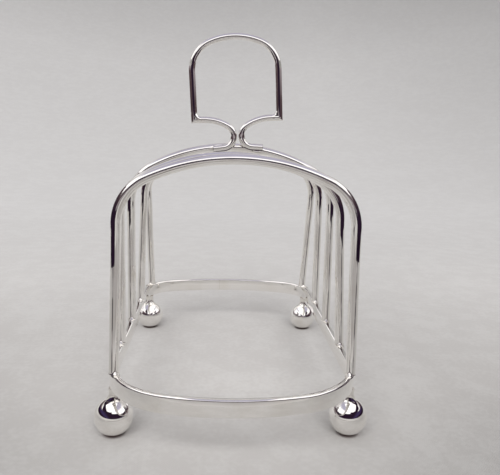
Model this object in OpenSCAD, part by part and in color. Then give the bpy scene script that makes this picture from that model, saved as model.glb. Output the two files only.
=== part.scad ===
// Wire toast rack: five arched hoops and a bent-wire handle on a strip base with ball feet.
// Millimetres. X runs across the rack, Y along it (front is -Y) and Z up. The balls rest on Z = 0,
// and the rack is centred on the origin.

/* [Base band] */
// Width between the middles of the two straight sides
band_w = 58; // [50:0.5:70]
// Height of the strip
band_h = 4.2; // [3:0.1:8]
// Thickness of the strip
band_t = 1.6; // [1.2:0.1:2.2]
// Straight side ahead of the middle hoop
front_straight = 31; // [28:0.5:34]
// Straight side behind the middle hoop
back_straight = 32; // [30:0.5:36]
// Bend radius of the front corners
front_corner_r = 18.5; // [15:0.5:22]
// Bend radius of the back corners
back_corner_r = 12; // [11:0.5:18]
// Radius of the bowed front end
front_bow_r = 60; // [50:1:120]
// Radius of the bowed back end
back_bow_r = 76; // [50:1:120]
// Place across the back end where the two ends of the strip meet
seam_x = -2.9; // [-10:0.1:10]
// Width of the soldered seam
seam_w = 0.25; // [0.15:0.05:0.5]

/* [Ball feet] */
// Diameter of a ball
ball_d = 9.1; // [8:0.1:12]
// Diameter of the filed spot a ball rests on
rest_d = 1.8; // [1.2:0.1:3]
// Distance of the balls from the middle hoop, along the rack
ball_y = 37; // [34:0.5:39]
// Bare height of the peg between ball and band
peg_gap = 2.5; // [1.5:0.1:5]
// Diameter of the peg
peg_d = 1.6; // [1.2:0.1:2]
// How far the peg reaches into the ball
peg_depth = 3; // [2:0.1:4]

/* [Hoops] */
// Diameter of the hoop wire
hoop_wire_d = 2.4; // [2:0.1:3]
// Distance from one hoop to the next
hoop_pitch = 19; // [17:0.25:20]
// Height of a hoop above the band, to the middle of the wire
hoop_h = 49.7; // [40:0.1:70]
// How much higher than that each hoop stands, from the front hoop to the back one
hoop_rise = [0, -0.35, 1.25, 0, 0]; // [-1:0.05:3]
// Bend radius of a hoop's shoulders
shoulder_r = 11.5; // [10:0.25:18]
// Bend radius of a hoop's crown
crown_r = 46.75; // [40:0.25:60]
// How far the left leg of each hoop leans in over its foot, from the front hoop to the back one
left_lean = [0.9, 0, 0, 1.35, -1.2]; // [-2:0.05:2]
// How far the right leg of each hoop leans in over its foot, from the front hoop to the back one
right_lean = [0.85, 1.8, 0.65, 0.5, -1.7]; // [-2:0.05:2]

/* [Handle] */
// Diameter of the handle wire
handle_wire_d = 1.8; // [1.5:0.1:2]
// Width between the middles of the uprights
handle_w = 23.6; // [23:0.1:27]
// Height from the feet to the top of the loop, between wire middles
handle_h = 29.6; // [26:0.1:40]
// Bend radius of the loop's shoulders
handle_shoulder_r = 8; // [5:0.25:9]
// Bend radius of the loop's crown
handle_crown_r = 18; // [15:0.5:24]
// Bend radius of the scrolls beside the neck
scroll_r = 3.15; // [2.6:0.05:3.4]
// Clearance between the two scrolls at the neck
neck_gap = 0.3; // [0.2:0.05:0.6]
// Bend radius of the arms above the scrolls
arm_r = 12.5; // [10:0.25:13]
// Angle of the arm where it leaves the scroll
arm_angle = 33; // [20:1:34]
// Length of a straight foot
foot_len = 3; // [2:0.1:5]
// Droop of the feet along the hoop
foot_droop = 5; // [2:0.5:8]
// Sideways place of the neck
handle_x = 1; // [-2:0.1:2]
// Height of the feet over the middle of the hoop's crown
handle_lift = 0.15; // [-0.2:0.05:0.3]
// Lean of the handle to the left
handle_lean = 3.5; // [0:0.1:4]

/* [Solder] */
// Width of the fillet round a hoop's foot
fillet_w = 0.45; // [0.3:0.05:0.6]
// Height of the fillet round a hoop's foot
fillet_h = 0.7; // [0.4:0.05:1]
// Radius of the solder cone where it meets the ball
cone_ball_r = 2; // [1.6:0.1:2.4]
// Radius of the solder cone under the band
cone_band_r = 1.1; // [1.1:0.05:1.3]
// Depth filed off the hoop where the handle lies on it
hoop_lap = 0.3; // [0.2:0.05:0.4]
// Depth filed off the handle's feet
foot_lap = 0.25; // [0.2:0.05:0.35]
// Thickness of the solder between hoop and foot
lap_solder_t = 0.15; // [0.1:0.05:0.3]
// Height of the solder between hoop and foot
lap_solder_h = 1; // [0.8:0.05:1.1]
// How far the filed flats run past the ends of the feet
lap_margin = 0.4; // [0.2:0.1:1]

/* [Hidden] */
$fn = 64;
SILVER = [0.86, 0.86, 0.85];
SOLDER = [0.72, 0.72, 0.7];
// Extra length that makes cuts run clear through
CUT = 1;
// Neighbouring lengths of one wire or strip run into each other by LAP, and every second
// one is drawn thinner by STEP all round, so that they join as one solid
LAP = 0.15;
STEP = LAP / 10;

// Number of the hoop that carries the handle
MIDDLE = 3;
hoop_r = hoop_wire_d / 2;
handle_wire_r = handle_wire_d / 2;

// The ball's middle stands above the rest plane by the sphere's height over the filed spot
ball_r = ball_d / 2;
ball_z = sqrt(ball_r * ball_r - rest_d * rest_d / 4);
band_z = ball_z + ball_r + peg_gap;
band_top = band_z + band_h;
peg_bottom = ball_z + ball_r - peg_depth;

// Lap joint of the handle on the front of the middle hoop, as planes across Y
hoop_flat_y = -(hoop_r - hoop_lap);
foot_flat_y = hoop_flat_y - lap_solder_t;
handle_y = foot_flat_y - (handle_wire_r - foot_lap);
handle_z = hoop_top(MIDDLE) + handle_lift;

// Scroll and arm of the right half of the handle, from the neck outwards
scroll_x = neck_gap / 2 + handle_wire_r + scroll_r;
arm_x = scroll_x + (arm_r - scroll_r) * sin(arm_angle);
arm_z = scroll_r - (arm_r - scroll_r) * cos(arm_angle);
arm_top = arm_z + arm_r;
upright_x = handle_w / 2;
// Inner end of a straight foot, where the scroll stops
foot_x = scroll_x - scroll_r * sin(foot_droop);
foot_z = scroll_r - scroll_r * cos(foot_droop);
foot_end_x = foot_x + foot_len * cos(foot_droop);
// Half-length of the filed flats, and their top and height on the handle, clear of the hoop
lap_reach = foot_end_x + lap_margin;
lap_top = handle_wire_d;
lap_height = 4 * handle_wire_d;

// How far the bowed ends reach from the middle hoop, and the shift that centres the rack
front_reach = end_reach(front_straight, front_corner_r, front_bow_r);
back_reach = end_reach(back_straight, back_corner_r, back_bow_r);
centre_shift = (front_reach - back_reach) / 2;

// Side of the band's middle line at a place along the rack, on the straight or in a corner
function straight_at(y) = y < 0 ? front_straight : back_straight;
function corner_at(y) = y < 0 ? front_corner_r : back_corner_r;
function past_straight(y) = max(0, abs(y) - straight_at(y));
function band_x(y) = band_w / 2 - corner_at(y) + sqrt(pow(corner_at(y), 2) - pow(past_straight(y), 2));

// Angle that half a bowed end spans, its middle along the rack, and how far the end reaches
function bow_span(corner, bow) = asin((band_w / 2 - corner) / (bow - corner));
function bow_middle(straight, corner, bow) = straight - (bow - corner) * cos(bow_span(corner, bow));
function end_reach(straight, corner, bow) = bow_middle(straight, corner, bow) + bow + band_t / 2;

function hoop_y(i) = (i - MIDDLE) * hoop_pitch;
function hoop_top(i) = band_top + hoop_h + hoop_rise[i - 1];
// Half-width and sideways place of a hoop's arch, between the two leaning legs
function arch_half(i) = band_x(hoop_y(i)) - (left_lean[i - 1] + right_lean[i - 1]) / 2;
function arch_shift(i) = (left_lean[i - 1] - right_lean[i - 1]) / 2;
// Sideways run and height of a leg, from its foot to the shoulder: side is -1 left or 1 right
function leg_run(i, side) = arch_shift(i) + side * (arch_half(i) - band_x(hoop_y(i)));
function leg_rise(i) = spring(hoop_top(i), arch_half(i), shoulder_r, crown_r) - band_top;

// Height at which an upright turns into the shoulder of a three-arc arch
function spring(top, half_w, shoulder, crown) =
    top - crown + sqrt(pow(crown - shoulder, 2) - pow(half_w - shoulder, 2));
// Half-angle that the crown of such an arch spans
function crown_angle(half_w, shoulder, crown) = asin((half_w - shoulder) / (crown - shoulder));

// Angle that an arc of a given radius spans along the joining length
function lap_angle(r) = LAP / r * 180 / PI;

// A finished piece in its colour, shifted so that the rack is centred
module piece(shade) {
    color(shade)
        translate([0, centre_shift, 0])
            children();
}

// Round rod in the XZ plane, standing on a point and tilted from +Z towards +X
module rod(x, z, len, tilt, d) {
    translate([x, 0, z])
        rotate([0, tilt, 0])
            cylinder(h = len, d = d);
}

// Thinner rod that runs into the neighbours at the ends asked for
module joining_rod(x, z, len, tilt, d, below = LAP, above = LAP) {
    translate([x, 0, z])
        rotate([0, tilt, 0])
            translate([0, 0, -below])
                cylinder(h = below + len + above, d = d - 2 * STEP);
}

// Round bar bent in the XZ plane about a point, between two angles from +X towards +Z
module bend(x, z, r, from, to, d) {
    translate([x, 0, z])
        rotate([90, 0, 0])
            rotate([0, 0, from])
                rotate_extrude(angle = to - from)
                    translate([r, 0])
                        circle(d = d);
}

// Thinner bent bar that runs into the neighbours at both ends
module joining_bend(x, z, r, from, to, d) {
    bend(x, z, r, from - lap_angle(r), to + lap_angle(r), d - 2 * STEP);
}

// The two shoulders and the crown of a three-arc arch
module arch(top, half_w, shoulder, crown, d) {
    spring_z = spring(top, half_w, shoulder, crown);
    span = crown_angle(half_w, shoulder, crown);
    for (side = [0, 1])
        mirror([side, 0, 0])
            bend(half_w - shoulder, spring_z, shoulder, 0, 90 - span, d);
    joining_bend(0, top - crown, crown, 90 - span, 90 + span, d);
}

// Strip bent about a point in the XY plane, between two angles from +X towards +Y, and drawn
// smaller all round by the step given
module strip_bend(x, y, r, from, to, step = 0) {
    translate([x, y, band_z + step])
        rotate([0, 0, from])
            rotate_extrude(angle = to - from)
                translate([r - band_t / 2 + step, 0])
                    square([band_t - 2 * step, band_h - 2 * step]);
}

// Two corners and the bowed end between them, at the +Y end of a side of the given length
module band_end(straight, corner, bow) {
    corner_x = band_w / 2 - corner;
    span = bow_span(corner, bow);
    for (side = [0, 1])
        mirror([side, 0, 0])
            strip_bend(
                corner_x, straight, corner,
                -lap_angle(corner), 90 - span + lap_angle(corner),
                STEP
            );
    strip_bend(0, bow_middle(straight, corner, bow), bow, 90 - span, 90 + span);
}

module band_ring() {
    for (side = [-1, 1])
        translate([side * band_w / 2 - band_t / 2, -front_straight, band_z])
            cube([band_t, front_straight + back_straight, band_h]);
    band_end(back_straight, back_corner_r, back_bow_r);
    mirror([0, 1, 0])
        band_end(front_straight, front_corner_r, front_bow_r);
}

// Slab across the back end in which the seam lies
module seam_slab() {
    translate([seam_x - seam_w / 2, 0, band_z - CUT])
        cube([seam_w, band_w + back_bow_r, band_h + 2 * CUT]);
}

module base_band() {
    piece(SILVER)
        difference() {
            band_ring();
            seam_slab();
        }
}

module band_seam_solder() {
    piece(SOLDER)
        intersection() {
            band_ring();
            seam_slab();
        }
}

// Puts its children at a corner: side is -1 left or 1 right, end is -1 front or 1 back
module at_corner(side, end) {
    translate([side * band_x(end * ball_y), end * ball_y, 0])
        children();
}

module peg_rod(bottom, top) {
    translate([0, 0, bottom])
        cylinder(h = top - bottom, d = peg_d);
}

module ball(side, end) {
    piece(SILVER)
        at_corner(side, end)
            difference() {
                translate([0, 0, ball_z])
                    sphere(d = ball_d);
                translate([-ball_d, -ball_d, -ball_d])
                    cube([2 * ball_d, 2 * ball_d, ball_d]);
                peg_rod(peg_bottom, ball_d + CUT);
            }
}

module peg(side, end) {
    piece(SILVER)
        at_corner(side, end)
            peg_rod(peg_bottom, band_z);
}

// Cone of solder that runs from the ball up the peg to the band
module solder_cone() {
    meet_z = ball_z + sqrt(ball_r * ball_r - cone_ball_r * cone_ball_r);
    slope = (cone_ball_r - cone_band_r) / (band_z - meet_z);
    difference() {
        translate([0, 0, ball_z + ball_r / 2])
            cylinder(
                h = band_z - ball_z - ball_r / 2,
                r1 = cone_ball_r + slope * (meet_z - ball_z - ball_r / 2),
                r2 = cone_band_r
            );
        translate([0, 0, ball_z])
            sphere(d = ball_d);
        peg_rod(ball_z, band_z + CUT);
    }
}

module foot_solder() {
    piece(SOLDER)
        for (side = [-1, 1], end = [-1, 1])
            at_corner(side, end)
                solder_cone();
}

// Puts its children at both feet of a hoop, along the leaning legs, and cuts them level on the band's
// top edge. The length of the leg is in $leg
module at_legs(i) {
    difference() {
        for (side = [-1, 1])
            translate([side * band_x(hoop_y(i)), hoop_y(i), band_top])
                rotate([0, atan2(leg_run(i, side), leg_rise(i)), 0]) {
                    $leg = norm([leg_run(i, side), leg_rise(i)]);
                    children();
                }
        translate([-band_w, hoop_y(i) - band_w, band_z])
            cube([2 * band_w, 2 * band_w, band_h]);
    }
}

// One bent wire
module hoop_bar(i) {
    at_legs(i)
        joining_rod(0, 0, $leg, 0, hoop_wire_d);
    translate([arch_shift(i), hoop_y(i), 0])
        arch(hoop_top(i), arch_half(i), shoulder_r, crown_r, hoop_wire_d);
}

module hoop(i) {
    piece(SILVER)
        hoop_bar(i);
}

module hoop_3() {
    piece(SILVER)
        difference() {
            hoop_bar(MIDDLE);
            // Flat filed on the front, where the handle's feet lie
            translate([handle_x - lap_reach, hoop_flat_y - hoop_wire_d, handle_z - hoop_wire_d])
                cube([2 * lap_reach, hoop_wire_d, 2 * hoop_wire_d]);
        }
}

// Fillets round the two feet of a hoop
module hoop_solder(i) {
    piece(SOLDER)
        at_legs(i)
            rotate_extrude()
                polygon([[hoop_r, -fillet_h], [hoop_r + 2 * fillet_w, -fillet_h], [hoop_r, fillet_h]]);
}

// Puts its children on the middle hoop, leaning as the handle does
module at_handle() {
    translate([handle_x, handle_y, handle_z])
        rotate([0, -handle_lean, 0])
            children();
}

// Right half of the handle below the loop: foot, scroll, arm, tight corner and upright
module handle_half() {
    spring_z = spring(handle_h, upright_x, handle_shoulder_r, handle_crown_r);
    rod(foot_x, foot_z, foot_len, 90 + foot_droop, handle_wire_d);
    joining_bend(scroll_x, scroll_r, scroll_r, 90 + arm_angle, 270 - foot_droop, handle_wire_d);
    bend(arm_x, arm_z, arm_r, 90, 90 + arm_angle, handle_wire_d);
    joining_rod(arm_x, arm_top, upright_x - arm_x, 90, handle_wire_d, above = 0);
    translate([upright_x, 0, arm_top])
        sphere(d = handle_wire_d);
    joining_rod(upright_x, arm_top, spring_z - arm_top, 0, handle_wire_d, below = 0);
}

module handle_wire() {
    piece(SILVER)
        at_handle()
            difference() {
                union() {
                    for (side = [0, 1])
                        mirror([side, 0, 0])
                            handle_half();
                    arch(handle_h, upright_x, handle_shoulder_r, handle_crown_r, handle_wire_d);
                }
                // Flat filed on the back of the feet and the foot of the scrolls
                translate([-lap_reach, foot_flat_y - handle_y, lap_top - lap_height])
                    cube([2 * lap_reach, handle_wire_d, lap_height]);
            }
}

// Solder between a foot and the hoop: side is 0 for the right foot, 1 for the left
module handle_solder(side) {
    piece(SOLDER)
        at_handle()
            mirror([side, 0, 0])
                translate([foot_x, foot_flat_y - handle_y, foot_z])
                    rotate([0, foot_droop, 0])
                        translate([0, 0, -lap_solder_h / 2])
                            cube([foot_len, lap_solder_t, lap_solder_h]);
}

base_band();
band_seam_solder();
ball(-1, -1);  // ball_front_left
ball(1, -1);  // ball_front_right
ball(-1, 1);  // ball_back_left
ball(1, 1);  // ball_back_right
peg(-1, -1);  // peg_front_left
peg(1, -1);  // peg_front_right
peg(-1, 1);  // peg_back_left
peg(1, 1);  // peg_back_right
foot_solder();
hoop(1);  // hoop_1
hoop(2);  // hoop_2
hoop_3();
hoop(4);  // hoop_4
hoop(5);  // hoop_5
hoop_solder(1);  // hoop_1_solder
hoop_solder(2);  // hoop_2_solder
hoop_solder(3);  // hoop_3_solder
hoop_solder(4);  // hoop_4_solder
hoop_solder(5);  // hoop_5_solder
handle_wire();
handle_solder(1);  // handle_solder_left
handle_solder(0);  // handle_solder_right
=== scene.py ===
"""Looks of a small wire toast rack: polished silver, standing on a pale linen sweep."""

import math

import bmesh
import bpy
from mathutils import Matrix, Vector, noise


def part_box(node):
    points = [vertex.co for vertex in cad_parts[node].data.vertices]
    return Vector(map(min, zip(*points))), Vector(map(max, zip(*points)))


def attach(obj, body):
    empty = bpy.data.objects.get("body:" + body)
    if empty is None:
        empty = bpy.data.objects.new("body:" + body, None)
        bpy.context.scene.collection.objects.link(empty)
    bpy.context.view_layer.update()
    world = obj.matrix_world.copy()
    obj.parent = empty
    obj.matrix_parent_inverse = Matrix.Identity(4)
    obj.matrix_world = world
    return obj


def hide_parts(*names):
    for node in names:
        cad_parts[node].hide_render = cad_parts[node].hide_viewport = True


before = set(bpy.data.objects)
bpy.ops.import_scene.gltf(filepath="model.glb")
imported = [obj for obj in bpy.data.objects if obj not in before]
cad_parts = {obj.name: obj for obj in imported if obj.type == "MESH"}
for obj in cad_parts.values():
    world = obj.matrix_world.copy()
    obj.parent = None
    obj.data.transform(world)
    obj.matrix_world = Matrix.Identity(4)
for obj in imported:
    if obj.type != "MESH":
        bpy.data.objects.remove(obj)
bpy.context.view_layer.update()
MM = 0.001

# Camera of the photograph, in metres and radians, with its focal length in pixels of a 500 wide frame
FRAME_WIDTH = 500
CAMERA_PLACE = Vector((-5.034, -158.873, 71.759)) * MM
CAMERA_DOWN = 0.1894
CAMERA_YAW = 0.0638
CAMERA_ROLL = 0.0315
FOCAL_PIXELS = 562.76
SENSOR_WIDTH = 36
CLIP_START = 10 * MM

# Band, as on the solids
BAND_W = 58 * MM
BAND_T = 1.6 * MM
FRONT_STRAIGHT = 31 * MM
BACK_STRAIGHT = 32 * MM
FRONT_CORNER_R = 18.5 * MM
BACK_CORNER_R = 12 * MM
FRONT_BOW_R = 60 * MM
BACK_BOW_R = 76 * MM
SEAM_X = -2.9 * MM
SEAM_W = 0.25 * MM

# Hoops, as on the solids: bends, and how far each leg's top leans out of plumb, front hoop first
SHOULDER_R = 11.5 * MM
CROWN_R = 46.75 * MM
LEFT_LEAN = [0.9, 0, 0, 1.35, -1.2]
RIGHT_LEAN = [0.85, 1.8, 0.65, 0.5, -1.7]

# Handle, as on the solids
HANDLE_W = 23.6 * MM
HANDLE_H = 29.6 * MM
HANDLE_R = 0.9 * MM
HANDLE_SHOULDER_R = 8 * MM
HANDLE_CROWN_R = 18 * MM
SCROLL_R = 3.15 * MM
NECK_GAP = 0.3 * MM
ARM_R = 12.5 * MM
ARM_ANGLE = math.radians(33)
FOOT_LEN = 3 * MM
FOOT_DROOP = math.radians(5)
HANDLE_X = 1 * MM
HANDLE_LIFT = 0.15 * MM
HANDLE_LEAN = math.radians(3.5)
HOOP_LAP = 0.3 * MM
FOOT_LAP = 0.25 * MM

# Softened edges and unevenness of the handwork
BAND_EDGE_R = 0.45 * MM
BAND_WAVE = 0.05 * MM
WIRE_WAVE = 0.012 * MM
WAVE_LENGTH = 5 * MM
CHAMFER = 0.12 * MM

# Shares of the band's thickness and height that the solder of its seam fills
SEAM_T_SHARE = 0.97
SEAM_H_SHARE = 0.99

# Lower bends of the handle: tight outside, filled with solder inside and filed to a flat
CORNER_TIGHT = 0.15 * MM
INNER_BEND_R = 2.1 * MM
BEND_THIN = 0.98
BEND_AHEAD = 0.06 * MM
BEND_FLAT = 0.9
BEND_SLOPE = math.tan(math.radians(9))

# Solder along the handle's feet: a bead with thicker lips, and a seam under the foot, both dark with painted
# shade
FOOT_BEAD_UP = 0.78 * MM
FOOT_BEAD_T = 0.1 * MM
FOOT_BEAD_LIP = 0.22 * MM
FOOT_BEAD_LIP_NARROW = 6
FOOT_BEAD_DROP = 0.4 * MM
FOOT_BEAD_BEHIND = 0.075 * MM
FOOT_BEAD_END = 0.06
FOOT_BEAD_BLUNT = 0.4
FOOT_SEAM_R = 0.17 * MM
FOOT_SEAM_DROP = 0.8 * MM
FOOT_SEAM_AHEAD = 0.42 * MM
FOOT_SEAM_TURN = 0.6

# Solder at the hoops' feet, drawn out along the band, more ahead of a foot than behind it
BEAD_SIDE = 0.12 * MM
BEAD_AHEAD = 2.2 * MM
BEAD_BEHIND = 1.1 * MM
BEAD_VARY = 0.15
BEAD_VARY_PACE = 2.3
BEAD_H = 1.0 * MM
BEAD_SIDE_H = 0.3 * MM
BEAD_NARROW = 8

# Solder necks between balls and band, and how far pieces sink into each other where they meet
NECK_BALL_R = 1.9 * MM
NECK_BAND_R = 1.15 * MM
NECK_TAPER = 0.6
NECK_WAIST = 0.3 * MM
SINK = 0.06 * MM

# Fineness of the meshes
RING = 32
STEP = 0.7 * MM
TURN_STEP = math.radians(4)
EDGE_STEPS = 5
BALL_TURNS = 96
BALL_RINGS = 64
BEAD_TURNS = 48
BEAD_STEPS = 10
NECK_TURNS = 48
NECK_STEPS = 12
FOOT_BEAD_TURNS = 16
FOOT_BEAD_STEPS = 12
SHARP = math.radians(32)
SAME_SPOT = 1e-7
UV_LENGTH = 100 * MM

# Sizes read from the solids
BAND_LOW, BAND_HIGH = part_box("base_band")
BAND_TOP = BAND_HIGH.z
MIDDLE_LOW, MIDDLE_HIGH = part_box("hoop_3")
HOOP_R = (MIDDLE_HIGH.y - MIDDLE_LOW.y) / 2
MIDDLE_Y = MIDDLE_HIGH.y - HOOP_R
HANDLE_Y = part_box("handle_wire")[0].y + HANDLE_R
HANDLE_Z = MIDDLE_HIGH.z - HOOP_R + HANDLE_LIFT
BALLS = ["ball_front_left", "ball_front_right", "ball_back_left", "ball_back_right"]
HOOPS = len(LEFT_LEAN)


def feed(tree, value, place):
    """Sets a socket to a value, or links another node's socket to it."""
    if isinstance(value, bpy.types.NodeSocket):
        tree.links.new(value, place)
    else:
        place.default_value = value


def math_node(tree, operation, *values):
    """Result of one operation on numbers or sockets."""
    node = tree.nodes.new("ShaderNodeMath")
    node.operation = operation
    for place, value in zip(node.inputs, values):
        feed(tree, value, place)
    return node.outputs[0]


def combine(tree, *values):
    node = tree.nodes.new("ShaderNodeCombineXYZ")
    for place, value in zip(node.inputs, values):
        feed(tree, value, place)
    return node.outputs[0]


def noise_node(tree, place, scale, detail):
    node = tree.nodes.new("ShaderNodeTexNoise")
    node.inputs["Scale"].default_value = scale
    node.inputs["Detail"].default_value = detail
    tree.links.new(place, node.inputs["Vector"])
    return node.outputs["Fac"]


def mix_colour(tree, amount, first, second):
    node = tree.nodes.new("ShaderNodeMix")
    node.data_type = "RGBA"
    feed(tree, amount, node.inputs[0])
    feed(tree, first, node.inputs[6])
    feed(tree, second, node.inputs[7])
    return node.outputs[2]


def spread(tree, value, low, high, start, end):
    """Maps low..high of a value to start..end, held at the ends."""
    node = tree.nodes.new("ShaderNodeMapRange")
    for place, number in zip(node.inputs[1:5], (low, high, start, end)):
        place.default_value = number
    tree.links.new(value, node.inputs[0])
    return node.outputs[0]


def bump(tree, height, distance, after=None):
    """Normal of a bumpy surface, on top of another one if given."""
    node = tree.nodes.new("ShaderNodeBump")
    node.inputs["Distance"].default_value = distance
    tree.links.new(height, node.inputs["Height"])
    if after:
        tree.links.new(after, node.inputs["Normal"])
    return node.outputs[0]


def material(name):
    """A new node material, with its node tree and its Principled shader."""
    made = bpy.data.materials.new(name)
    made.use_nodes = True
    tree = made.node_tree
    return made, tree, tree.nodes["Principled BSDF"]


BRIGHT = (0.94, 0.925, 0.9)
DULL = (0.88, 0.855, 0.81)
LINE = (0.5, 0.47, 0.44)
PAINTED_REFLECTION = (0.17, 0.15, 0.16)
SOLDER_BRIGHT, SOLDER_DULL = (0.9, 0.88, 0.84), (0.74, 0.7, 0.63)
# Painted shade: dark solder colours for the bead and the seam under the handle's feet
DARK_BRIGHT, DARK_DULL = (0.16, 0.13, 0.15), (0.06, 0.05, 0.06)

# Marks of the metal: scales of noise per metre, spans of noise that show as marks, and depths of bump
TARNISH_SCALE, TARNISH_SPAN = 160, (0.45, 0.75)
POLISH_SCALE, POLISH_SPAN, POLISH_DEPTH = 2500, (0.35, 0.75), 0.4e-6
DENT_SCALE = 220
STREAK_PACE, STREAK_SPAN, STREAK_DEPTH = 7, (0.6, 0.72), 6e-6
STREAKS = 5

# Painted reflection: a dark line along the front of the legs, up to a height
PAINTED_REFLECTION_TURN = 0.54
PAINTED_REFLECTION_EDGE = (0.008, 0.022)
PAINTED_REFLECTION_BREAKS = (0.4, 0.5, 0.4, 1)
PAINTED_REFLECTION_END = 52 * MM
PAINTED_REFLECTION_FADE = 0.9 * PAINTED_REFLECTION_END


def silver_material(name, bright, dull, roughness, streaks=0, dents=0):
    """Polished metal: a little tarnish, fine polishing marks, draw lines along a wire's UV, and a painted
    dark reflection line on the legs.
    """
    made, tree, shader = material(name)
    coords = tree.nodes.new("ShaderNodeTexCoord").outputs
    cloud = noise_node(tree, coords["Object"], TARNISH_SCALE, 4)
    colour = mix_colour(tree, spread(tree, cloud, *TARNISH_SPAN, 0, 1), (*bright, 1), (*dull, 1))
    shader.inputs["Metallic"].default_value = 1
    fine = noise_node(tree, coords["Object"], POLISH_SCALE, 3)
    normal = bump(tree, fine, POLISH_DEPTH)
    marks = fine
    if dents:
        normal = bump(tree, noise_node(tree, coords["Object"], DENT_SCALE, 1), dents, normal)
    if streaks:
        parts = tree.nodes.new("ShaderNodeSeparateXYZ")
        tree.links.new(coords["UV"], parts.inputs[0])
        around = math_node(tree, "MULTIPLY", parts.outputs[0], 2 * math.pi)
        side = math_node(tree, "MULTIPLY", math_node(tree, "COSINE", around), streaks)
        front = math_node(tree, "MULTIPLY", math_node(tree, "SINE", around), streaks)
        along = math_node(tree, "MULTIPLY", parts.outputs[1], STREAK_PACE)
        marks = noise_node(tree, combine(tree, side, front, along), 1, 3)
        normal = bump(tree, marks, STREAK_DEPTH, normal)
        colour = mix_colour(tree, spread(tree, marks, *STREAK_SPAN, 0, 1), colour, (*LINE, 1))
        # Painted reflection: a dark line along the front of the legs, fading out towards their tops
        aside = math_node(tree, "ABSOLUTE", math_node(tree, "SUBTRACT", parts.outputs[0], PAINTED_REFLECTION_TURN))
        place = tree.nodes.new("ShaderNodeSeparateXYZ")
        tree.links.new(coords["Object"], place.inputs[0])
        leg = spread(tree, place.outputs[2], PAINTED_REFLECTION_FADE, PAINTED_REFLECTION_END, 1, 0)
        painted_line = math_node(tree, "MULTIPLY", spread(tree, aside, *PAINTED_REFLECTION_EDGE, 1, 0), leg)
        painted_line = math_node(tree, "MULTIPLY", painted_line, spread(tree, cloud, *PAINTED_REFLECTION_BREAKS))
        colour = mix_colour(tree, painted_line, colour, (*PAINTED_REFLECTION, 1))
    tree.links.new(colour, shader.inputs["Base Color"])
    dullness = spread(tree, marks, *POLISH_SPAN, roughness, 2 * roughness)
    tree.links.new(dullness, shader.inputs["Roughness"])
    tree.links.new(normal, shader.inputs["Normal"])
    return made


# The wires' silver also carries the painted dark reflection line on the legs
WIRE_SILVER = silver_material("drawn_silver", BRIGHT, DULL, 0.035, streaks=STREAKS)
SHEET_SILVER = silver_material("rolled_silver", BRIGHT, DULL, 0.05, dents=8e-6)
BALL_SILVER = silver_material("turned_silver", BRIGHT, DULL, 0.03, dents=4e-6)
# Solder painted dark as the shade under the handle's feet
SHADE_PAINTED_SOLDER = silver_material("solder_painted_shade", DARK_BRIGHT, DARK_DULL, 0.2, dents=12e-6)
SOLDER = silver_material("silver_solder", SOLDER_BRIGHT, SOLDER_DULL, 0.08, dents=12e-6)

for name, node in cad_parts.items():
    node.data.materials.clear()
    node.data.materials.append(SOLDER if "solder" in name else BALL_SILVER)


def add_mesh(name, builder, looks, slot, *nodes):
    """Turns a bmesh into a smooth piece that stands for these CAD nodes."""
    bmesh.ops.recalc_face_normals(builder, faces=builder.faces)
    mesh = bpy.data.meshes.new(name)
    for face in builder.faces:
        face.smooth = True
    builder.to_mesh(mesh)
    builder.free()
    mesh.set_sharp_from_angle(angle=SHARP)
    mesh.materials.append(looks)
    piece = bpy.data.objects.new(name, mesh)
    bpy.context.scene.collection.objects.link(piece)
    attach(piece, "root")
    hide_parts(*nodes)
    return piece


def run(start, end):
    """Points of a straight line."""
    count = max(1, math.ceil((Vector(end) - Vector(start)).length / STEP))
    return [Vector(start).lerp(Vector(end), i / count) for i in range(count + 1)]


def arc(centre, radius, start, end):
    """Points of an arc, with its angles in radians."""
    count = max(1, math.ceil(abs(end - start) / min(TURN_STEP, STEP / radius)))
    points = []
    for i in range(count + 1):
        angle = start + (end - start) * i / count
        points.append(Vector(centre) + radius * Vector((math.cos(angle), math.sin(angle))))
    return points


def joined(*parts):
    """One path of several, with the shared ends kept once."""
    path = list(parts[0])
    for part in parts[1:]:
        if (part[0] - path[-1]).length < SAME_SPOT:
            part = part[1:]
        path.extend(part)
    return path


def arch(half_w, top, shoulder_r, crown_r):
    """Path of an arch from its left spring to its right one, about x = 0."""
    reach = half_w - shoulder_r
    span = math.asin(reach / (crown_r - shoulder_r))
    spring = top - crown_r + (crown_r - shoulder_r) * math.cos(span)
    left = arc((-reach, spring), shoulder_r, math.pi, math.pi / 2 + span)
    crown = arc((0, top - crown_r), crown_r, math.pi / 2 + span, math.pi / 2 - span)
    right = arc((reach, spring), shoulder_r, math.pi / 2 - span, 0)
    return joined(left, crown, right)


def path_frames(path):
    """For each point: the point, its mitred side direction and the length so far."""
    frames = []
    length = 0
    for i, point in enumerate(path):
        before = (point - path[i - 1]).normalized() if i else (path[1] - point).normalized()
        after = (path[i + 1] - point).normalized() if i + 1 < len(path) else before
        along = (before + after).normalized()
        side = Vector((-along.y, along.x)) / along.dot(before)
        length += (point - path[i - 1]).length if i else 0
        frames.append((point, side, length))
    return frames


def wave(place, size):
    """Smooth unevenness at a place, at most about the size given."""
    return size * noise.noise(place / WAVE_LENGTH)


def add_rings(builder, rings, lengths):
    """Skin over rings of points, closed at both ends, with UVs round and along."""
    layer = builder.loops.layers.uv.verify()
    rows = [[builder.verts.new(point) for point in ring] for ring in rings]
    count = len(rows[0])
    for low, high, start, end in zip(rows, rows[1:], lengths, lengths[1:]):
        for i in range(count):
            j = (i + 1) % count
            face = builder.faces.new((low[i], low[j], high[j], high[i]))
            corners = ((i, start), (i + 1, start), (i + 1, end), (i, end))
            for loop, (turn, length) in zip(face.loops, corners):
                loop[layer].uv = (turn / count, length / UV_LENGTH)
    builder.faces.new(reversed(rows[0]))
    builder.faces.new(rows[-1])


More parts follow.
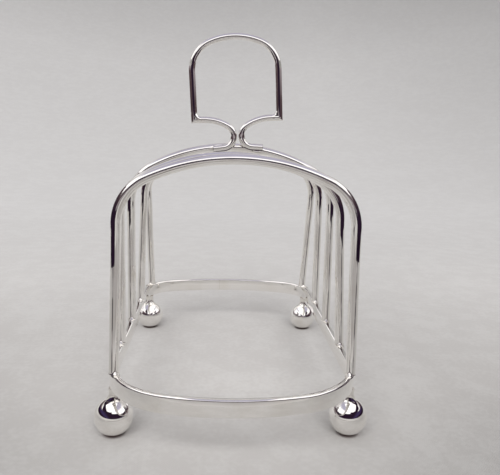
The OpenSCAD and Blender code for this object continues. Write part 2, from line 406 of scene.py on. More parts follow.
def add_tube(builder, path, y, radius, place, shape):
    """Round wire along a path in a plane of constant y, with chamfered ends. Its UV is 0.5 in front."""
    frames = path_frames(path)
    first, last = frames[0], frames[-1]
    inward = (path[1] - path[0]).normalized() * CHAMFER
    outward = (path[-2] - path[-1]).normalized() * CHAMFER
    sections = [(first[0], first[1], first[2], radius - CHAMFER)]
    sections.append((first[0] + inward, first[1], first[2] + CHAMFER, radius))
    sections += [(*entry, radius) for entry in frames[1:-1]]
    sections.append((last[0] + outward, last[1], last[2] - CHAMFER, radius))
    sections.append((last[0], last[1], last[2], radius - CHAMFER))
    rings = []
    for point, side, length, reach in sections:
        ring = []
        for i in range(RING):
            angle = 2 * math.pi * (i / RING + 0.25)
            flat = point + side * (reach * math.cos(angle))
            spot = place(Vector((flat.x, y + reach * math.sin(angle), flat.y)))
            centre = place(Vector((point.x, y, point.y)))
            spot += (spot - centre).normalized() * wave(spot, WIRE_WAVE)
            ring.append(shape(spot))
        rings.append(ring)
    add_rings(builder, rings, [section[2] for section in sections])


def band_end(straight, corner_r, bow_r):
    """Corner centre, half-angle of the bow and bow centre of the band's end on the +Y side."""
    reach = BAND_W / 2 - corner_r
    span = math.asin(reach / (bow_r - corner_r))
    return reach, span, straight - (bow_r - corner_r) * math.cos(span)


FRONT_REACH, FRONT_SPAN, FRONT_MIDDLE = band_end(FRONT_STRAIGHT, FRONT_CORNER_R, FRONT_BOW_R)
BACK_REACH, BACK_SPAN, BACK_MIDDLE = band_end(BACK_STRAIGHT, BACK_CORNER_R, BACK_BOW_R)
SEAM_TURN = math.acos(SEAM_X / BACK_BOW_R)
SEAM_HALF = SEAM_W / 2 / BACK_BOW_R


def band_path():
    """Middle line of the band from one side of its seam round to the other, about the middle hoop."""
    right, left, half = math.pi / 2, math.pi, BAND_W / 2
    front = 3 * math.pi / 2
    return joined(
        arc((0, BACK_MIDDLE), BACK_BOW_R, SEAM_TURN + SEAM_HALF, right + BACK_SPAN),
        arc((-BACK_REACH, BACK_STRAIGHT), BACK_CORNER_R, right + BACK_SPAN, left),
        run((-half, BACK_STRAIGHT), (-half, -FRONT_STRAIGHT)),
        arc((-FRONT_REACH, -FRONT_STRAIGHT), FRONT_CORNER_R, left, front - FRONT_SPAN),
        arc((0, -FRONT_MIDDLE), FRONT_BOW_R, front - FRONT_SPAN, front + FRONT_SPAN),
        arc((FRONT_REACH, -FRONT_STRAIGHT), FRONT_CORNER_R, front + FRONT_SPAN, 2 * math.pi),
        run((half, -FRONT_STRAIGHT), (half, BACK_STRAIGHT)),
        arc((BACK_REACH, BACK_STRAIGHT), BACK_CORNER_R, 0, right - BACK_SPAN),
        arc((0, BACK_MIDDLE), BACK_BOW_R, right - BACK_SPAN, SEAM_TURN - SEAM_HALF),
    )


def band_section():
    """Rounded strip section: (across, up) points about its middle."""
    wide = BAND_T / 2 - BAND_EDGE_R
    high = (BAND_HIGH.z - BAND_LOW.z) / 2 - BAND_EDGE_R
    points = []
    for quarter, (across, up) in enumerate(((wide, high), (-wide, high), (-wide, -high), (wide, -high))):
        for i in range(EDGE_STEPS + 1):
            angle = math.pi / 2 * (quarter + i / EDGE_STEPS)
            points.append((across + BAND_EDGE_R * math.cos(angle), up + BAND_EDGE_R * math.sin(angle)))
    return points


def strip(path, section):
    """Skin of a strip on edge along a path on the floor, a little uneven."""
    middle = (BAND_HIGH.z + BAND_LOW.z) / 2
    rings, lengths = [], []
    for point, side, length in path_frames(path):
        ring = []
        for across, up in section:
            flat = point + side * across
            spot = Vector((flat.x, flat.y + MIDDLE_Y, middle + up))
            shake = wave(spot, BAND_WAVE)
            ring.append(spot + Vector((side.x * shake, side.y * shake, wave(spot.zxy, BAND_WAVE))))
        rings.append(ring)
        lengths.append(length)
    builder = bmesh.new()
    add_rings(builder, rings, lengths)
    return builder


add_mesh("band", strip(band_path(), band_section()), SHEET_SILVER, "silver", "base_band")

seam_line = arc((0, BACK_MIDDLE), BACK_BOW_R, SEAM_TURN - 2 * SEAM_HALF, SEAM_TURN + 2 * SEAM_HALF)
seam_section = [(SEAM_T_SHARE * across, SEAM_H_SHARE * up) for across, up in band_section()]
add_mesh("band_seam", strip(seam_line, seam_section), SOLDER, "solder", "band_seam_solder")


def band_side(y):
    """Half-width of the band's middle line at y from the middle hoop, and its direction there."""
    if y > BACK_STRAIGHT:
        reach, start, radius, sign = BACK_REACH, BACK_STRAIGHT, BACK_CORNER_R, 1
    elif y < -FRONT_STRAIGHT:
        reach, start, radius, sign = FRONT_REACH, FRONT_STRAIGHT, FRONT_CORNER_R, -1
    else:
        return BAND_W / 2, Vector((0, 1))
    rise = abs(y) - start
    out = math.sqrt(radius ** 2 - rise ** 2)
    return reach + out, Vector((-sign * rise, out)).normalized()


def hoop_path(index, top):
    """Left leg, arch and right leg of a hoop, with its feet on the band."""
    y = (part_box(f"hoop_{index + 1}")[0].y + HOOP_R) - MIDDLE_Y
    half = band_side(y)[0]
    left, right = LEFT_LEAN[index] * MM, RIGHT_LEAN[index] * MM
    shift = (left - right) / 2
    bend = [point + Vector((shift, 0)) for point in arch(half - (left + right) / 2, top, SHOULDER_R, CROWN_R)]
    return joined(run((-half, BAND_TOP), bend[0]), bend, run(bend[-1], (half, BAND_TOP)))


SCROLL = Vector((NECK_GAP / 2 + HANDLE_R + SCROLL_R, SCROLL_R))
FOOT_UP = Vector((math.sin(FOOT_DROOP), math.cos(FOOT_DROOP)))
FOOT_HEEL = SCROLL - SCROLL_R * FOOT_UP
FOOT_TOE = FOOT_HEEL + FOOT_LEN * Vector((math.cos(FOOT_DROOP), -math.sin(FOOT_DROOP)))


def lap_flat(spot):
    """The middle hoop is filed flat in front, where the handle's feet lie on it."""
    if FOOT_HEEL.x < abs(spot.x - HANDLE_X) < FOOT_TOE.x and spot.z > HANDLE_Z - 2 * HOOP_R:
        spot.y = max(spot.y, MIDDLE_Y - HOOP_R + HOOP_LAP)
    return spot


def as_drawn(spot):
    """Leaves a point of a wire as it is."""
    return spot


for index in range(HOOPS):
    node = f"hoop_{index + 1}"
    low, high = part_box(node)
    wire = bmesh.new()
    shape = lap_flat if node == "hoop_3" else as_drawn
    add_tube(wire, hoop_path(index, high.z - HOOP_R), low.y + HOOP_R, HOOP_R, as_drawn, shape)
    add_mesh(f"hoop_wire_{index + 1}", wire, WIRE_SILVER, "silver", node)


def add_bead(builder, foot, along, reaches):
    """Concave bead of solder round a hoop's foot, drawn out along the band's top, both ways."""
    across = Vector((-along.y, along.x))
    rings = [[] for _ in range(BEAD_STEPS + 2)]
    for i in range(BEAD_TURNS):
        angle = 2 * math.pi * i / BEAD_TURNS
        point = abs(math.cos(angle)) ** BEAD_NARROW
        reach = BEAD_SIDE + (reaches[0 if math.cos(angle) > 0 else 1] - BEAD_SIDE) * point
        height = BEAD_SIDE_H + (BEAD_H - BEAD_SIDE_H) * point
        out = along * math.cos(angle) + across * math.sin(angle)
        profile = [(HOOP_R - SINK, height)]
        for k in range(BEAD_STEPS):
            turn = math.pi / 2 * k / (BEAD_STEPS - 1)
            profile.append((HOOP_R + reach * (1 - math.cos(turn)), height * (1 - math.sin(turn))))
        profile.append((HOOP_R + reach - SINK, -SINK))
        for ring, (radius, z) in zip(rings, profile):
            flat = foot + out * radius
            ring.append(Vector((flat.x, flat.y, BAND_TOP + z)))
    add_rings(builder, rings, [ring[0].z for ring in rings])


for index in range(HOOPS):
    low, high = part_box(f"hoop_{index + 1}")
    y = low.y + HOOP_R
    half, along = band_side(y - MIDDLE_Y)
    builder = bmesh.new()
    reaches = (BEAD_BEHIND, BEAD_AHEAD * (1 + BEAD_VARY * math.sin(BEAD_VARY_PACE * index)))
    add_bead(builder, Vector((half, y)), along, reaches)
    add_bead(builder, Vector((-half, y)), Vector((-along.x, along.y)), reaches)
    add_mesh(f"hoop_beads_{index + 1}", builder, SOLDER, "solder", f"hoop_{index + 1}_solder")


def lathe(builder, profile, turns, centre=Vector((0, 0, 0))):
    """Skin of a profile of (radius, height) points turned about an upright axis, closed at both ends."""
    rows = []
    for radius, height in profile:
        count = turns if radius else 1
        row = []
        for i in range(count):
            angle = 2 * math.pi * i / turns
            spot = Vector((radius * math.cos(angle), radius * math.sin(angle), height))
            row.append(builder.verts.new(centre + spot))
        rows.append(row)
    for low, high in zip(rows, rows[1:]):
        for i in range(turns):
            j = (i + 1) % turns
            corners = [low[i % len(low)], low[j % len(low)], high[j % len(high)], high[i % len(high)]]
            builder.faces.new(list(dict.fromkeys(corners)))


def ball_profile(radius, rest):
    """Half circle cut flat at the height given below its middle."""
    points = [(0, -rest)]
    start = math.asin(-rest / radius)
    for i in range(BALL_RINGS):
        angle = start + (math.pi / 2 - start) * i / BALL_RINGS
        points.append((radius * math.cos(angle), radius * math.sin(angle)))
    return points + [(0, radius)]


necks = bmesh.new()
for name in BALLS:
    low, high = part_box(name)
    radius = (high.x - low.x) / 2
    centre = Vector((high.x - radius, high.y - radius, high.z - radius))
    builder = bmesh.new()
    lathe(builder, ball_profile(radius, centre.z - low.z), BALL_TURNS, centre)
    add_mesh("round_" + name, builder, BALL_SILVER, "silver", name)
    start = centre.z + math.sqrt(radius ** 2 - NECK_BALL_R ** 2)
    profile = [(0, start - SINK)]
    for i in range(NECK_STEPS + 1):
        part = i / NECK_STEPS
        waist = NECK_WAIST * math.sin(math.pi * part)
        height = start - SINK + (BAND_LOW.z - start + 2 * SINK) * part
        profile.append((NECK_BALL_R + (NECK_BAND_R - NECK_BALL_R) * part ** NECK_TAPER - waist, height))
    profile.append((0, BAND_LOW.z + SINK))
    lathe(necks, profile, NECK_TURNS, Vector((centre.x, centre.y, 0)))
add_mesh("necks", necks, SOLDER, "solder", "foot_solder")


ARM_TURN = Vector((-math.sin(ARM_ANGLE), math.cos(ARM_ANGLE)))
ARM_CENTRE = SCROLL + (SCROLL_R - ARM_R) * ARM_TURN
HANDLE_CORNER = Vector((HANDLE_W / 2, ARM_CENTRE.y + ARM_R))


def handle_half():
    """Right half of the handle, from the end of its foot up to the spring of its arch."""
    scroll = arc(SCROLL, SCROLL_R, 3 * math.pi / 2 - FOOT_DROOP, math.pi / 2 + ARM_ANGLE)
    arm = arc(ARM_CENTRE, ARM_R, math.pi / 2 + ARM_ANGLE, math.pi / 2)
    corner = HANDLE_CORNER
    spring = Vector((HANDLE_W / 2, HANDLE_H - HANDLE_CROWN_R + handle_spring()))
    return joined(
        run(FOOT_TOE, FOOT_HEEL),
        scroll,
        arm,
        run(arm[-1], corner - Vector((CORNER_TIGHT, 0))),
        [corner, corner + Vector((0, CORNER_TIGHT))],
        run(corner + Vector((0, CORNER_TIGHT)), spring),
    )


def handle_spring():
    """Height of the springs of the handle's arch above the middle of its crown."""
    reach = HANDLE_W / 2 - HANDLE_SHOULDER_R
    return math.sqrt((HANDLE_CROWN_R - HANDLE_SHOULDER_R) ** 2 - reach ** 2)


def lean(spot):
    """Sets a point of the handle where it stands on the middle hoop."""
    turn = Matrix.Rotation(-HANDLE_LEAN, 3, "Y")
    return turn @ spot + Vector((HANDLE_X, HANDLE_Y, HANDLE_Z))


def foot_flat(spot):
    """The handle's feet are filed flat behind, against the middle hoop."""
    if spot.z < HANDLE_Z + 2 * HANDLE_R:
        spot.y = min(spot.y, HANDLE_Y + HANDLE_R - FOOT_LAP)
    return spot


right_half = handle_half()
left_half = [Vector((-point.x, point.y)) for point in right_half]
handle_arch = arch(HANDLE_W / 2, HANDLE_H, HANDLE_SHOULDER_R, HANDLE_CROWN_R)
handle_path = joined(left_half, handle_arch, right_half[::-1])
handle = bmesh.new()
add_tube(handle, handle_path, 0, HANDLE_R, lean, foot_flat)
inner_bend = arc(HANDLE_CORNER + Vector((-INNER_BEND_R, INNER_BEND_R)), INNER_BEND_R, -math.pi / 2, 0)
bend_z = HANDLE_Z + HANDLE_CORNER.y + INNER_BEND_R / 2


def bend_flat(spot):
    """The bends are filled with solder inside and filed to a flat that looks a little upward."""
    face = HANDLE_Y - BEND_FLAT * HANDLE_R + BEND_SLOPE * (spot.z - bend_z)
    spot.y = max(spot.y, face)
    return spot


for sign in (-1, 1):
    bend = [Vector((sign * point.x, point.y)) for point in inner_bend]
    add_tube(handle, bend, -BEND_AHEAD, BEND_THIN * HANDLE_R, lean, bend_flat)
add_mesh("handle", handle, WIRE_SILVER, "silver", "handle_wire")


def foot_bead(sign):
    """Solder squeezed out round the lap of a foot on the middle hoop, and the seam under the foot, both
    painted dark as shade.
    """
    builder = bmesh.new()
    rings, lengths = [], []
    for i in range(FOOT_BEAD_STEPS + 1):
        part = i / FOOT_BEAD_STEPS
        middle = FOOT_TOE.lerp(FOOT_HEEL, part)
        taper = math.sin(math.pi * (FOOT_BEAD_END + (1 - 2 * FOOT_BEAD_END) * part)) ** FOOT_BEAD_BLUNT
        ring = []
        for k in range(FOOT_BEAD_TURNS):
            angle = 2 * math.pi * k / FOOT_BEAD_TURNS
            lip = FOOT_BEAD_LIP * abs(math.cos(angle)) ** FOOT_BEAD_LIP_NARROW
            up = FOOT_BEAD_UP * taper * math.cos(angle)
            spot = lean(Vector((sign * middle.x, 0, middle.y + up - FOOT_BEAD_DROP)))
            thick = (FOOT_BEAD_T + lip) * taper * math.sin(angle)
            spot.y = HANDLE_Y + HANDLE_R - FOOT_LAP + FOOT_BEAD_BEHIND + thick
            ring.append(spot)
        rings.append(ring)
        lengths.append(part * FOOT_LEN)
    add_rings(builder, rings, lengths)
    toe, heel = [point - FOOT_SEAM_DROP * FOOT_UP for point in (FOOT_TOE, FOOT_HEEL)]
    start = 3 * math.pi / 2 - FOOT_DROOP
    turn_up = arc(SCROLL, SCROLL_R + FOOT_SEAM_DROP, start, start - FOOT_SEAM_TURN)
    seam = [Vector((sign * point.x, point.y)) for point in joined(run(toe, heel), turn_up)]
    add_tube(builder, seam, -FOOT_SEAM_AHEAD, FOOT_SEAM_R, lean, as_drawn)
    return builder


add_mesh("handle_bead_left", foot_bead(-1), SHADE_PAINTED_SOLDER, "solder", "handle_solder_left")
add_mesh("handle_bead_right", foot_bead(1), SHADE_PAINTED_SOLDER, "solder", "handle_solder_right")

# Table and backdrop: one shallow bowl of linen round the rack
FLAT_R = 0.25
BOWL_R = 1.3
BOWL_RISE = 0.55
BOWL_RINGS = 40
BOWL_TURNS = 128

# Linen: its threads, the unevenness of its tone, and its shadows close to what stands on it
THREAD = 0.62 * MM
THREAD_SHAKE, SHAKE_SCALE = 6, 90
WEAVE_TONE, WEAVE_DEPTH = 0.12, 12e-6
CLOUD_SCALE, CLOUD_TONE = 30, (0.3, 0.7, 0, 0.8)
GRAIN_SCALES, GRAIN_TONE = (120, 700), (0.35, 0.65, -0.45, 0.45)
LINEN_DARK, LINEN_LIGHT = (0.6, 0.58, 0.562, 1), (0.645, 0.628, 0.61, 1)
WIDE_REACH, WIDE_SPAN, WIDE_SHADE = 10 * MM, (0.4, 1, 0.12, 0), (0.1, 0.085, 0.08, 1)
CLOSE_REACH, CLOSE_SPAN, CLOSE_SHADE = 1.1 * MM, (0.08, 0.6, 1, 0), (0.05, 0.02, 0.02, 1)

# Painted light and shade on the linen, how it falls off: two places along an axis, in metres, and the amounts
# at these
BACK_PALE = (-0.02, 0.3, 0, 0.36)
NEAR = (-0.05, 0.1, 1, 0)
SIDES_DARK = (0.015, 0.07, 0.04, 0.28)
SIDES_SHIFT = 0.004
FRONT_DARK = (-0.055, -0.01, 0.17, 0)
END_DARK = (0.8, 1.1, 0, 0.22)
RIGHT_DARK = (0.15, 0.6, 0, 0.27)

# Further out from the rack, the painted falls of shade that lie near it run wider
OUT = (0.16, 0.5, 0, 1)
OUT_NEAR = (-0.7, 0.15, 1, 0)
OUT_FRONT_DARK = (-0.7, 0.15, 0.17, 0)
OUT_SIDES_SHIFT = 0.07


def open_sky(tree, reach):
    """How open each spot is to the sky above it, from 0 to 1."""
    node = tree.nodes.new("ShaderNodeAmbientOcclusion")
    node.inputs["Distance"].default_value = reach
    return node.outputs["AO"]


def blend(tree, amount, first, second):
    """Runs from a first number to a second as the amount runs from 0 to 1."""
    step = math_node(tree, "MULTIPLY", math_node(tree, "SUBTRACT", second, first), amount)
    return math_node(tree, "ADD", first, step)


def linen():
    """Fine plain weave, a little uneven in tone, painted paler behind the rack than before it, with painted
    shade and shadows.
    """
    made, tree, shader = material("linen")
    coords = tree.nodes.new("ShaderNodeTexCoord").outputs["Object"]
    parts = tree.nodes.new("ShaderNodeSeparateXYZ")
    tree.links.new(coords, parts.inputs[0])
    x, y = parts.outputs[0], parts.outputs[1]
    threads = []
    for across in (x, y):
        drift = noise_node(tree, coords, SHAKE_SCALE, 2)
        turn = math_node(tree, "MULTIPLY", across, 2 * math.pi / THREAD)
        shaken = math_node(tree, "ADD", turn, math_node(tree, "MULTIPLY", drift, THREAD_SHAKE))
        threads.append(math_node(tree, "SINE", shaken))
    weave = math_node(tree, "MULTIPLY", *threads)
    tone = spread(tree, noise_node(tree, coords, CLOUD_SCALE, 5), *CLOUD_TONE)
    tone = math_node(tree, "ADD", tone, math_node(tree, "MULTIPLY", weave, WEAVE_TONE))
    for scale in GRAIN_SCALES:
        grain = spread(tree, noise_node(tree, coords, scale, 3), *GRAIN_TONE)
        tone = math_node(tree, "ADD", tone, grain)
    pale = mix_colour(tree, tone, LINEN_DARK, LINEN_LIGHT)
    # Painted light: paler towards the back
    pale = mix_colour(tree, spread(tree, y, *BACK_PALE), pale, (1, 1, 1, 1))
    gap = tree.nodes.new("ShaderNodeVectorMath")
    gap.operation = "LENGTH"
    tree.links.new(combine(tree, x, y, 0), gap.inputs[0])
    out = spread(tree, gap.outputs["Value"], *OUT)
    near = blend(tree, out, spread(tree, y, *NEAR), spread(tree, y, *OUT_NEAR))
    aside = math_node(tree, "ABSOLUTE", math_node(tree, "ADD", x, SIDES_SHIFT))
    aside = math_node(tree, "ADD", aside, math_node(tree, "MULTIPLY", out, OUT_SIDES_SHIFT))
    sides = math_node(tree, "MULTIPLY", near, spread(tree, aside, *SIDES_DARK))
    front = blend(tree, out, spread(tree, y, *FRONT_DARK), spread(tree, y, *OUT_FRONT_DARK))
    # Painted shade: darker towards the sides, the front, the far end and the right
    for dark in (sides, front, spread(tree, y, *END_DARK), spread(tree, x, *RIGHT_DARK)):
        pale = mix_colour(tree, dark, pale, (0, 0, 0, 1))
    # Painted shadows: darker where little of the sky is open above the linen
    pale = mix_colour(tree, spread(tree, open_sky(tree, WIDE_REACH), *WIDE_SPAN), pale, WIDE_SHADE)
    pale = mix_colour(tree, spread(tree, open_sky(tree, CLOSE_REACH), *CLOSE_SPAN), pale, CLOSE_SHADE)
    tree.links.new(pale, shader.inputs["Base Color"])
    shader.inputs["Roughness"].default_value = 0.9
    shader.inputs["Specular IOR Level"].default_value = 0.1
    tree.links.new(bump(tree, weave, WEAVE_DEPTH), shader.inputs["Normal"])
    return made


def bowl_profile():
    """Flat round the rack, then rising ever more steeply."""
    points = [(0, 0), (FLAT_R, 0)]
    for i in range(1, BOWL_RINGS + 1):
        out = (BOWL_R - FLAT_R) * i / BOWL_RINGS
        points.append((FLAT_R + out, BOWL_RISE * out ** 2))
    return points


def add_stage(name, builder, looks):
    """Turns a bmesh into a smooth piece of the stage."""
    mesh = bpy.data.meshes.new(name)
    for face in builder.faces:
        face.smooth = True
    builder.to_mesh(mesh)
    builder.free()
    mesh.materials.append(looks)
    piece = bpy.data.objects.new(name, mesh)
    bpy.context.scene.collection.objects.link(piece)
    return piece


bowl = bmesh.new()
lathe(bowl, bowl_profile(), BOWL_TURNS)
add_stage("bowl", bowl, linen())


def glow(name, axis, levels):
    """Even glow whose colour runs through (place along an axis, colour) levels."""
    made, tree, shader = material(name)
    tree.nodes.remove(shader)
    place = tree.nodes.new("ShaderNodeNewGeometry").outputs["Position"]
    parts = tree.nodes.new("ShaderNodeSeparateXYZ")
    tree.links.new(place, parts.inputs[0])
    shade = (*levels[0][1], 1)
    for (start, _), (end, colour) in zip(levels, levels[1:]):
        shade = mix_colour(tree, spread(tree, parts.outputs[axis], start, end, 0, 1), shade, (*colour, 1))
    light = tree.nodes.new("ShaderNodeEmission")
    feed(tree, shade, light.inputs["Color"])
    tree.links.new(light.outputs[0], tree.nodes["Material Output"].inputs["Surface"])
    return made, tree, light


def add_card(name, builder, looks):
    """Card that shows only in the polish."""
    piece = add_stage(name, builder, looks)
    piece.visible_camera = False
    piece.visible_diffuse = False
    piece.visible_shadow = False


def ramp(value, low, high, start, end):
    """Maps low..high of a value to start..end, held at the ends."""
    part = min(1, max(0, (value - low) / (high - low)))
    return start + (end - start) * part


def wall(posts):
    """Upright card through posts of (x, y, lower edge, upper edge)."""
    builder = bmesh.new()
    rows = []
    for x, y, low, high in posts:
        rows.append((builder.verts.new((x, y, low)), builder.verts.new((x, y, high))))
    for (low, high), (next_low, next_high) in zip(rows, rows[1:]):
        builder.faces.new((low, next_low, next_high, high))
    return builder


def level_card(left, right, front, back, height):
    """Flat card, seen from below as its front side."""
    builder = bmesh.new()
    corners = ((left, front), (left, back), (right, back), (right, front))
    builder.faces.new([builder.verts.new((x, y, height)) for x, y in corners])
    return builder


DEEP = (0.02, 0.01, 0.023)
BROWN = (0.09, 0.06, 0.065)
DUSK = (0.35, 0.31, 0.33)
SHADE = (0.38, 0.36, 0.352)
PURPLE = (0.05, 0.035, 0.1)
CLOTH = (0.6, 0.575, 0.565)
WHITE = (1.3, 1.28, 1.3)
CARD_STEPS = 96

# Dark room round the front, its far end, and a darker card straight in front, with heights of the edges
FAR_R, FAR_TURN = 0.235, math.radians(140)
FAR_LOW, FAR_END_LOW, FAR_TOP = 0.038, 0.075, 0.13
FAR_RISE_TURN = math.radians(95)
END_R, END_TURN, END_EDGES = 0.6, math.radians(60), (0.1, 0.16)
FRONT_R, FRONT_TURN, FRONT_EDGES = 0.23, math.radians(35), (0.052, 0.16)

# A dark wing beside each front leg, lower on the left side
WING_R = 42 * MM
WING_START, WING_RISE_TURN = math.radians(5), math.radians(30)
WING_LOW = {-1: 0.0315, 1: 0.0345}
WING_FRONT_TOP, WING_TOP = 0.05, 0.088
WING_END_Y, WING_END_LOW = (-0.02, 0.01), 0.042
LEG_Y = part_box("hoop_1")[0].y + HOOP_R
LEG_X = band_side(LEG_Y - MIDDLE_Y)[0]

# Shaded cloth before the rack
SHADED_HALF_W, SHADED_START, SHADED_END = 0.1, -0.1, -0.08
SHADED_LIFT = 0.5 * MM


def card_turns(half_turn):
    """Even turns to both sides of straight in front."""
    return [half_turn * (2 * i / CARD_STEPS - 1) for i in range(CARD_STEPS + 1)]


def on_arc(radius, turn):
    """Place on the floor at a turn from straight in front."""
    return radius * math.sin(turn), -radius * math.cos(turn)


def even_posts(radius, half_turn, edges):
    """Posts of one height, in an arc about the front."""
    return [(*on_arc(radius, turn), *edges) for turn in card_turns(half_turn)]


def far_posts():
    """Posts in an arc about the front, whose lower ends rise towards the back."""
    posts = []
    for turn in card_turns(FAR_TURN):
        low = ramp(abs(turn), FAR_RISE_TURN, FAR_TURN, FAR_LOW, FAR_END_LOW)
        posts.append((*on_arc(FAR_R, turn), low, FAR_TOP))
    return posts


def wing_posts(side):
    """Bent about the foot of a front leg, then straight back beside the rack."""
    posts = []
    for i in range(CARD_STEPS + 1):
        turn = ramp(i, 0, CARD_STEPS, WING_START, math.pi / 2)
        high = ramp(turn, WING_RISE_TURN, math.pi / 2, WING_FRONT_TOP, WING_TOP)
        x, y = on_arc(WING_R, turn)
        posts.append((side * (LEG_X + x), LEG_Y + y, WING_LOW[side], high))
    for y in WING_END_Y:
        posts.append((side * (LEG_X + WING_R), y, WING_END_LOW, WING_TOP))
    return posts


# Tones of the cards by height
room_levels = ((0.046, DEEP), (0.05, DUSK), (0.061, DUSK), (0.065, BROWN), (0.1, BROWN), (0.13, DUSK))
room = glow("dark_room", 2, room_levels)[0]
add_card("far_card", wall(far_posts()), room)
room_end = glow("room_end", 2, [(edge, BROWN) for edge in END_EDGES])[0]
add_card("end_card", wall(even_posts(END_R, END_TURN, END_EDGES)), room_end)
front_looks = glow("dark_front", 2, ((0.074, DUSK), (0.079, DEEP)))[0]
add_card("front_card", wall(even_posts(FRONT_R, FRONT_TURN, FRONT_EDGES)), front_looks)
wing_looks = glow("dark_wing", 2, ((0.055, DEEP), (0.09, BROWN)))[0]
add_card("left_wing", wall(wing_posts(-1)), wing_looks)
add_card("right_wing", wall(wing_posts(1)), wing_looks)
shade_looks = glow("shaded_cloth", 1, ((SHADED_START, SHADE), (SHADED_END, CLOTH)))[0]
shaded = level_card(-SHADED_HALF_W, SHADED_HALF_W, -FAR_R, SHADED_END, SHADED_LIFT)
add_card("shaded_cloth", shaded, shade_looks)


def from_below(name, axis, levels):
    """Glow seen from below, clear from above."""
    made, tree, light = glow(name, axis, levels)
    clear = tree.nodes.new("ShaderNodeBsdfTransparent")
    sides = tree.nodes.new("ShaderNodeMixShader")
    tree.links.new(tree.nodes.new("ShaderNodeNewGeometry").outputs["Backfacing"], sides.inputs[0])
    tree.links.new(light.outputs[0], sides.inputs[1])
    tree.links.new(clear.outputs[0], sides.inputs[2])
    tree.links.new(sides.outputs[0], tree.nodes["Material Output"].inputs["Surface"])
    return made


def ring_card(inner, outer, half_turn, height):
    """Part of a level ring about the front."""
    builder = bmesh.new()
    rows = []
    for turn in card_turns(half_turn):
        rows.append([builder.verts.new((*on_arc(radius, turn), height)) for radius in (inner, outer)])
    for (near, far), (next_near, next_far) in zip(rows, rows[1:]):
        builder.faces.new((near, next_near, next_far, far))
    return builder


# What only the balls and the band look up to: a dark ring close over the cloth, and bright sheets above it
RING_IN, RING_OUT, RING_Z = 0.065, 0.13, 0.02
RING_TURN = math.radians(100)
ring_levels = ((-0.075, DEEP), (-0.055, PURPLE), (-0.04, DEEP), (0.04, DEEP), (0.055, PURPLE), (0.075, DEEP))
ring_looks = from_below("dark_ring", 0, ring_levels)
add_card("dark_ring", ring_card(RING_IN, RING_OUT, RING_TURN, RING_Z), ring_looks)

# Inner and outer edge, front, back and height of the sheets on either side
FRONT_SHEETS = (0.016, 0.06, -0.075, -0.025, 0.047)
BACK_SHEETS = (0.012, 0.034, 0.015, 0.055, 0.03)
sheet_looks = from_below("bright_sheet", 2, ((0, WHITE), (1, WHITE)))
for end, (inner, outer, *rest) in (("", FRONT_SHEETS), ("back_", BACK_SHEETS)):
    add_card(end + "left_sheet", level_card(-outer, -inner, *rest), sheet_looks)
    add_card(end + "right_sheet", level_card(inner, outer, *rest), sheet_looks)

# Light: an even pale surround, which the polish sees as bright in front, lavender above and cream behind
EVEN_LIGHT, EVEN_STRENGTH = (0.99, 0.98, 1, 1), 0.5
SKY_BRIGHT, SKY_LAVENDER = (1.25, 1.23, 1.25, 1), (0.46, 0.44, 0.55, 1)
BEHIND_SPAN, HIGH_SPAN = (0.1, 0.5), (0.73, 0.83)
world = bpy.data.worlds.new("surround")
bpy.context.scene.world = world
world.use_nodes = True
sky = world.node_tree
even = sky.nodes["Background"]
even.inputs["Color"].default_value = EVEN_LIGHT
even.inputs["Strength"].default_value = EVEN_STRENGTH
rays = sky.nodes.new("ShaderNodeLightPath").outputs
heading = sky.nodes.new("ShaderNodeSeparateXYZ")
sky.links.new(sky.nodes.new("ShaderNodeTexCoord").outputs["Generated"], heading.inputs[0])
behind = spread(sky, heading.outputs[1], *BEHIND_SPAN, 0, 1)
around = mix_colour(sky, behind, SKY_BRIGHT, (*CLOTH, 1))
high = spread(sky, heading.outputs[2], *HIGH_SPAN, 0, 1)
seen = sky.nodes.new("ShaderNodeBackground")
sky.links.new(mix_colour(sky, high, around, SKY_LAVENDER), seen.inputs["Color"])
shown = math_node(sky, "MAXIMUM", rays["Is Camera Ray"], rays["Is Glossy Ray"])
shown = math_node(sky, "MAXIMUM", shown, rays["Is Transmission Ray"])
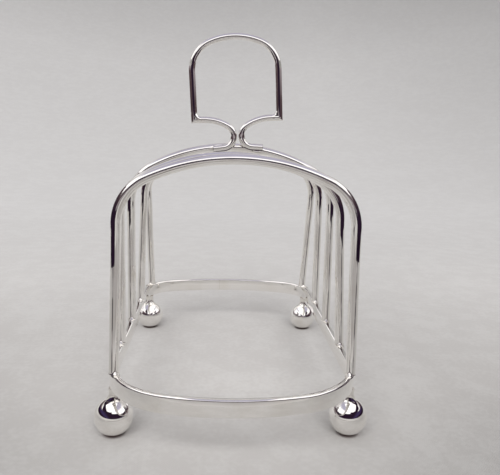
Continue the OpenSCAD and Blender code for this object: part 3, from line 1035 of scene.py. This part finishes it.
either = sky.nodes.new("ShaderNodeMixShader")
sky.links.new(shown, either.inputs[0])
sky.links.new(even.outputs[0], either.inputs[1])
sky.links.new(seen.outputs[0], either.inputs[2])
sky.links.new(either.outputs[0], sky.nodes["World Output"].inputs["Surface"])

LAMP_SIZE = (1.2, 0.63)
LAMP_PLACE = Vector((-0.1, -0.755, 0.656))
LAMP_AIM = Vector((0, 0, 0.03))
LAMP_RADIANCE = 4.65
lamp_data = bpy.data.lights.new("lamp", "AREA")
lamp_data.shape = "RECTANGLE"
lamp_data.size, lamp_data.size_y = LAMP_SIZE
lamp_data.energy = LAMP_RADIANCE * math.pi * LAMP_SIZE[0] * LAMP_SIZE[1]
lamp = bpy.data.objects.new("lamp", lamp_data)
bpy.context.scene.collection.objects.link(lamp)
lamp.location = LAMP_PLACE
lamp.rotation_euler = (LAMP_AIM - LAMP_PLACE).to_track_quat("-Z", "Y").to_euler()
lamp.visible_camera = False
lamp.visible_glossy = False


def add_camera():
    """Camera where the photograph was taken from, with its small tilt."""
    forward = Vector((
        math.sin(CAMERA_YAW) * math.cos(CAMERA_DOWN),
        math.cos(CAMERA_YAW) * math.cos(CAMERA_DOWN),
        -math.sin(CAMERA_DOWN),
    ))
    level = Vector((math.cos(CAMERA_YAW), -math.sin(CAMERA_YAW), 0))
    upright = level.cross(forward)
    right = math.cos(CAMERA_ROLL) * level + math.sin(CAMERA_ROLL) * upright
    up = math.cos(CAMERA_ROLL) * upright - math.sin(CAMERA_ROLL) * level
    lens = bpy.data.cameras.new("camera")
    lens.sensor_width = SENSOR_WIDTH
    lens.lens = FOCAL_PIXELS * SENSOR_WIDTH / FRAME_WIDTH
    lens.clip_start = CLIP_START
    camera = bpy.data.objects.new("camera", lens)
    bpy.context.scene.collection.objects.link(camera)
    turn = Matrix((right, up, -forward)).transposed().to_4x4()
    camera.matrix_world = Matrix.Translation(CAMERA_PLACE) @ turn
    bpy.context.scene.camera = camera


add_camera()
bpy.context.scene.view_settings.view_transform = "Standard"
